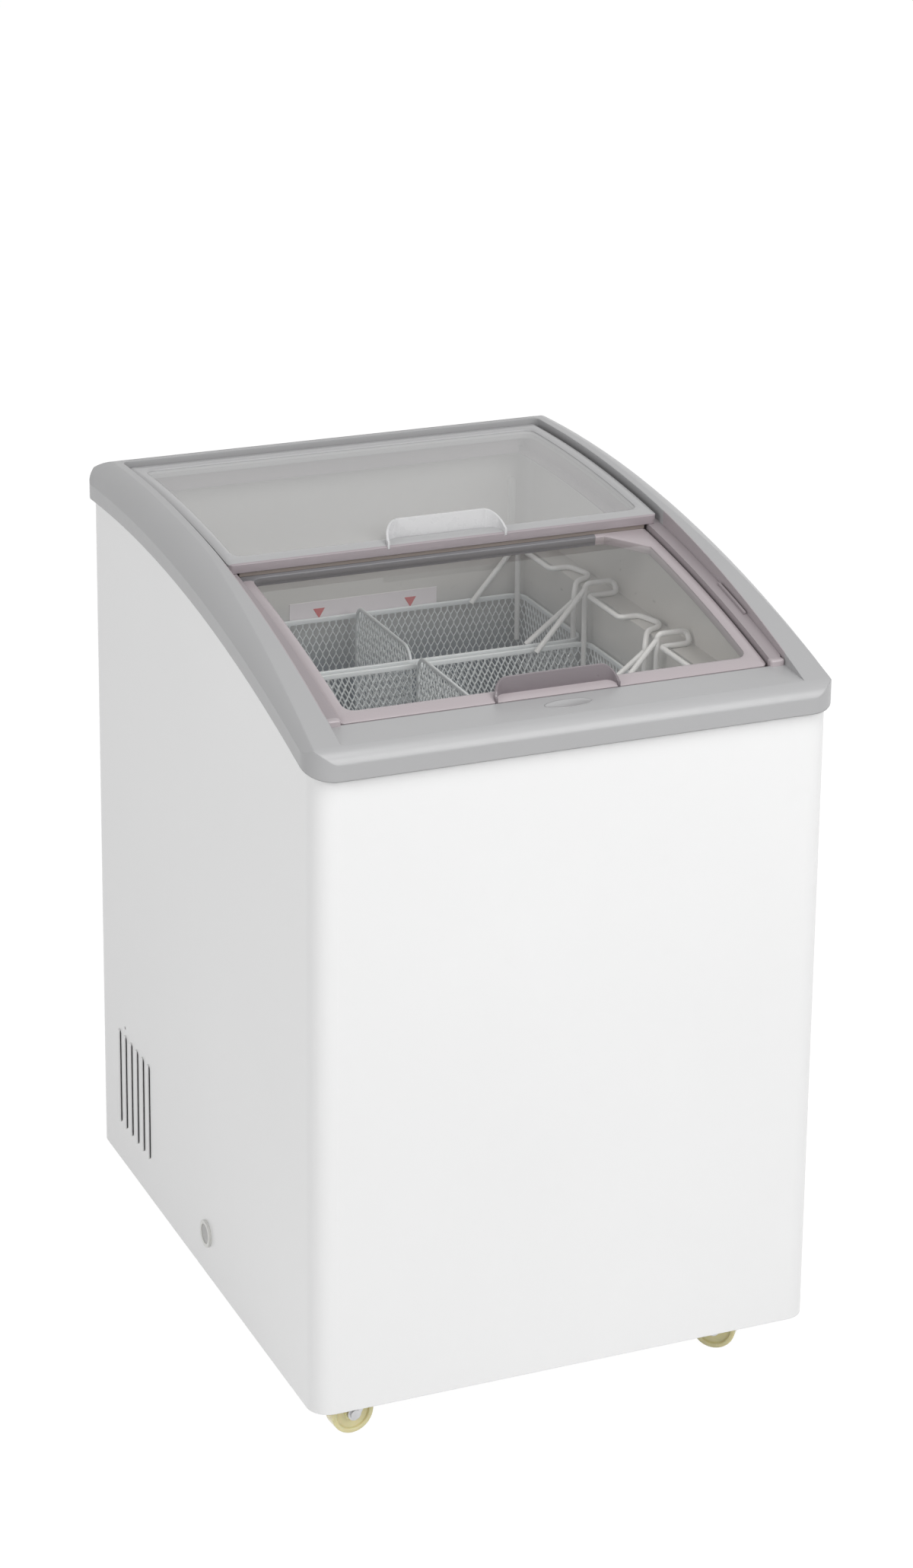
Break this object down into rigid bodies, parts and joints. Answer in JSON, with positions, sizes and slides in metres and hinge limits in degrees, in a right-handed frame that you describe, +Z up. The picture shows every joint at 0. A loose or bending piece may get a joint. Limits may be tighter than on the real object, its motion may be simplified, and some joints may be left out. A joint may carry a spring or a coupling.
{
  "type": "ice cream chest freezer",
  "caption": "White chest freezer on swivel castors with a curved grey top frame, sliding curved glass lids with scoop handles, and hanging mesh baskets.",
  "frame": {"origin": "on the floor, at the centre of the plan outline", "axes": "+Z up, -Y the front with the lower end of the curved top, +X to the right seen from the front"},
  "size_m": [0.614, 0.754, 0.9209],
  "materials": {
    "cabinet_shell": "gloss white enamel",
    "back_panel": "white enamel",
    "rear_grille": "grey enamel",
    "grille_screws": "zinc",
    "base_tray": "galvanised",
    "collar_frame": "satin grey",
    "side_track_left": "grey plastic",
    "side_track_right": "grey plastic",
    "cross_rails": "grey plastic",
    "track_strips": "grey plastic",
    "inner_liner": "pale grey",
    "foam_insulation": "rigid foam",
    "compressor_bulkhead": "galvanised",
    "evaporator_tube": "drawn",
    "condenser_tube": "copper coated",
    "compressor": "black",
    "compressor_feet": "rubber",
    "start_relay": "moulded",
    "filter_drier": "copper",
    "refrigerant_pipes": "copper",
    "thermostat_body": "moulded",
    "cord_gland": "moulded",
    "drain_tube": "pvc",
    "drain_ring": "moulded",
    "sensor_cover": "moulded",
    "load_line_strip": "printed film",
    "castor_plates": "zinc",
    "castor_screws": "zinc",
    "rear_lid_frame": "grey plastic",
    "rear_lid_glass": "clear",
    "rear_lid_handle": "moulded",
    "rear_lid_seal": "brush seal",
    "front_lid_frame": "grey plastic",
    "front_lid_glass": "clear",
    "front_lid_handle": "moulded",
    "front_lid_seal": "brush seal",
    "basket_rear": "white coated mesh",
    "hangers_rear": "white coated wire",
    "divider_rear": "white coated mesh",
    "basket_middle": "white coated mesh",
    "hangers_middle": "white coated wire",
    "divider_middle": "white coated mesh",
    "basket_front": "white coated mesh",
    "hangers_front": "white coated wire",
    "divider_front": "white coated mesh",
    "castor_fork_front_left": "zinc",
    "castor_axle_front_left": "zinc",
    "castor_wheel_front_left": "translucent amber",
    "castor_fork_front_right": "zinc",
    "castor_axle_front_right": "zinc",
    "castor_wheel_front_right": "translucent amber",
    "castor_fork_rear_left": "zinc",
    "castor_axle_rear_left": "zinc",
    "castor_wheel_rear_left": "translucent amber",
    "castor_fork_rear_right": "zinc",
    "castor_axle_rear_right": "zinc",
    "castor_wheel_rear_right": "translucent amber",
    "drain_plug": "moulded",
    "drain_cap": "moulded",
    "thermostat_knob": "moulded"
  },
  "bodies": {
    "cabinet": {"cabinet_shell": "cabinet_shell", "back_panel": "back_panel", "rear_grille": "rear_grille", "grille_screws": "grille_screws", "base_tray": "base_tray", "collar_frame": "collar_frame", "side_track_left": "side_track_left", "side_track_right": "side_track_right", "cross_rails": "cross_rails", "track_strips": "track_strips", "inner_liner": "inner_liner", "foam_insulation": "foam_insulation", "compressor_bulkhead": "compressor_bulkhead", "evaporator_tube": "evaporator_tube", "condenser_tube": "condenser_tube", "compressor": "compressor", "compressor_feet": "compressor_feet", "start_relay": "start_relay", "filter_drier": "filter_drier", "refrigerant_pipes": "refrigerant_pipes", "thermostat_body": "thermostat_body", "cord_gland": "cord_gland", "drain_tube": "drain_tube", "drain_ring": "drain_ring", "sensor_cover": "sensor_cover", "load_line_strip": "load_line_strip", "castor_plates": "castor_plates", "castor_screws": "castor_screws"},
    "rear_lid": {"rear_lid_frame": "rear_lid_frame", "rear_lid_glass": "rear_lid_glass", "rear_lid_handle": "rear_lid_handle", "rear_lid_seal": "rear_lid_seal"},
    "front_lid": {"front_lid_frame": "front_lid_frame", "front_lid_glass": "front_lid_glass", "front_lid_handle": "front_lid_handle", "front_lid_seal": "front_lid_seal"},
    "basket_rear_body": {"basket_rear": "basket_rear", "hangers_rear": "hangers_rear"},
    "divider_rear_body": {"divider_rear": "divider_rear"},
    "basket_middle_body": {"basket_middle": "basket_middle", "hangers_middle": "hangers_middle"},
    "divider_middle_body": {"divider_middle": "divider_middle"},
    "basket_front_body": {"basket_front": "basket_front", "hangers_front": "hangers_front"},
    "divider_front_body": {"divider_front": "divider_front"},
    "castor_front_left": {"castor_fork_front_left": "castor_fork_front_left", "castor_axle_front_left": "castor_axle_front_left"},
    "wheel_front_left": {"castor_wheel_front_left": "castor_wheel_front_left"},
    "castor_front_right": {"castor_fork_front_right": "castor_fork_front_right", "castor_axle_front_right": "castor_axle_front_right"},
    "wheel_front_right": {"castor_wheel_front_right": "castor_wheel_front_right"},
    "castor_rear_left": {"castor_fork_rear_left": "castor_fork_rear_left", "castor_axle_rear_left": "castor_axle_rear_left"},
    "wheel_rear_left": {"castor_wheel_rear_left": "castor_wheel_rear_left"},
    "castor_rear_right": {"castor_fork_rear_right": "castor_fork_rear_right", "castor_axle_rear_right": "castor_axle_rear_right"},
    "wheel_rear_right": {"castor_wheel_rear_right": "castor_wheel_rear_right"},
    "drain_plug_body": {"drain_plug": "drain_plug"},
    "drain_cap_body": {"drain_cap": "drain_cap"},
    "knob": {"thermostat_knob": "thermostat_knob"}
  },
  "joints": [
    {"name": "rear_lid_slide", "type": "hinge", "parent": "cabinet", "child": "rear_lid", "pos_m": [0, 0.258, -1.158], "axis": [1, 0, 0], "range_deg": [0, 7.4]},
    {"name": "front_lid_slide", "type": "hinge", "parent": "cabinet", "child": "front_lid", "pos_m": [0, 0.258, -1.158], "axis": [1, 0, 0], "range_deg": [-7.4, 0]},
    {"name": "basket_rear_lift", "type": "slide", "parent": "cabinet", "child": "basket_rear_body", "axis": [0, 0, 1], "range_m": [0, 0.06]},
    {"name": "divider_rear_slide", "type": "slide", "parent": "basket_rear_body", "child": "divider_rear_body", "axis": [1, 0, 0], "range_m": [-0.14, 0.125]},
    {"name": "basket_middle_lift", "type": "slide", "parent": "cabinet", "child": "basket_middle_body", "axis": [0, 0, 1], "range_m": [0, 0.05]},
    {"name": "divider_middle_slide", "type": "slide", "parent": "basket_middle_body", "child": "divider_middle_body", "axis": [1, 0, 0], "range_m": [-0.14, 0.125]},
    {"name": "basket_front_lift", "type": "slide", "parent": "cabinet", "child": "basket_front_body", "axis": [0, 0, 1], "range_m": [0, 0.02]},
    {"name": "divider_front_slide", "type": "slide", "parent": "basket_front_body", "child": "divider_front_body", "axis": [1, 0, 0], "range_m": [-0.14, 0.125]},
    {"name": "castor_front_left_swivel", "type": "hinge", "parent": "cabinet", "child": "castor_front_left", "pos_m": [-0.225, -0.33, 0.06], "axis": [0, 0, 1], "continuous": true},
    {"name": "wheel_front_left_spin", "type": "hinge", "parent": "castor_front_left", "child": "wheel_front_left", "pos_m": [-0.24492, -0.33179, 0.025], "axis": [0.0896, -0.996, 0], "continuous": true},
    {"name": "castor_front_right_swivel", "type": "hinge", "parent": "cabinet", "child": "castor_front_right", "pos_m": [0.225, -0.33, 0.06], "axis": [0, 0, 1], "continuous": true},
    {"name": "wheel_front_right_spin", "type": "hinge", "parent": "castor_front_right", "child": "wheel_front_right", "pos_m": [0.20962, -0.31722, 0.025], "axis": [-0.6392, -0.769, 0], "continuous": true},
    {"name": "castor_rear_left_swivel", "type": "hinge", "parent": "cabinet", "child": "castor_rear_left", "pos_m": [-0.225, 0.33, 0.06], "axis": [0, 0, 1], "continuous": true},
    {"name": "wheel_rear_left_spin", "type": "hinge", "parent": "castor_rear_left", "child": "wheel_rear_left", "pos_m": [-0.24492, 0.32821, 0.025], "axis": [0.0896, -0.996, 0], "continuous": true},
    {"name": "castor_rear_right_swivel", "type": "hinge", "parent": "cabinet", "child": "castor_rear_right", "pos_m": [0.225, 0.33, 0.06], "axis": [0, 0, 1], "continuous": true},
    {"name": "wheel_rear_right_spin", "type": "hinge", "parent": "castor_rear_right", "child": "wheel_rear_right", "pos_m": [0.20962, 0.34278, 0.025], "axis": [-0.6392, -0.769, 0], "continuous": true},
    {"name": "drain_plug_pull", "type": "slide", "parent": "cabinet", "child": "drain_plug_body", "axis": [0, 0, 1], "range_m": [0, 0.04]},
    {"name": "drain_cap_pull", "type": "slide", "parent": "cabinet", "child": "drain_cap_body", "axis": [-1, 0, 0], "range_m": [0, 0.03]},
    {"name": "thermostat_turn", "type": "hinge", "parent": "cabinet", "child": "knob", "pos_m": [0.175, 0.369, 0.205], "axis": [0, 1, 0], "range_deg": [0, 270]}
  ]
}
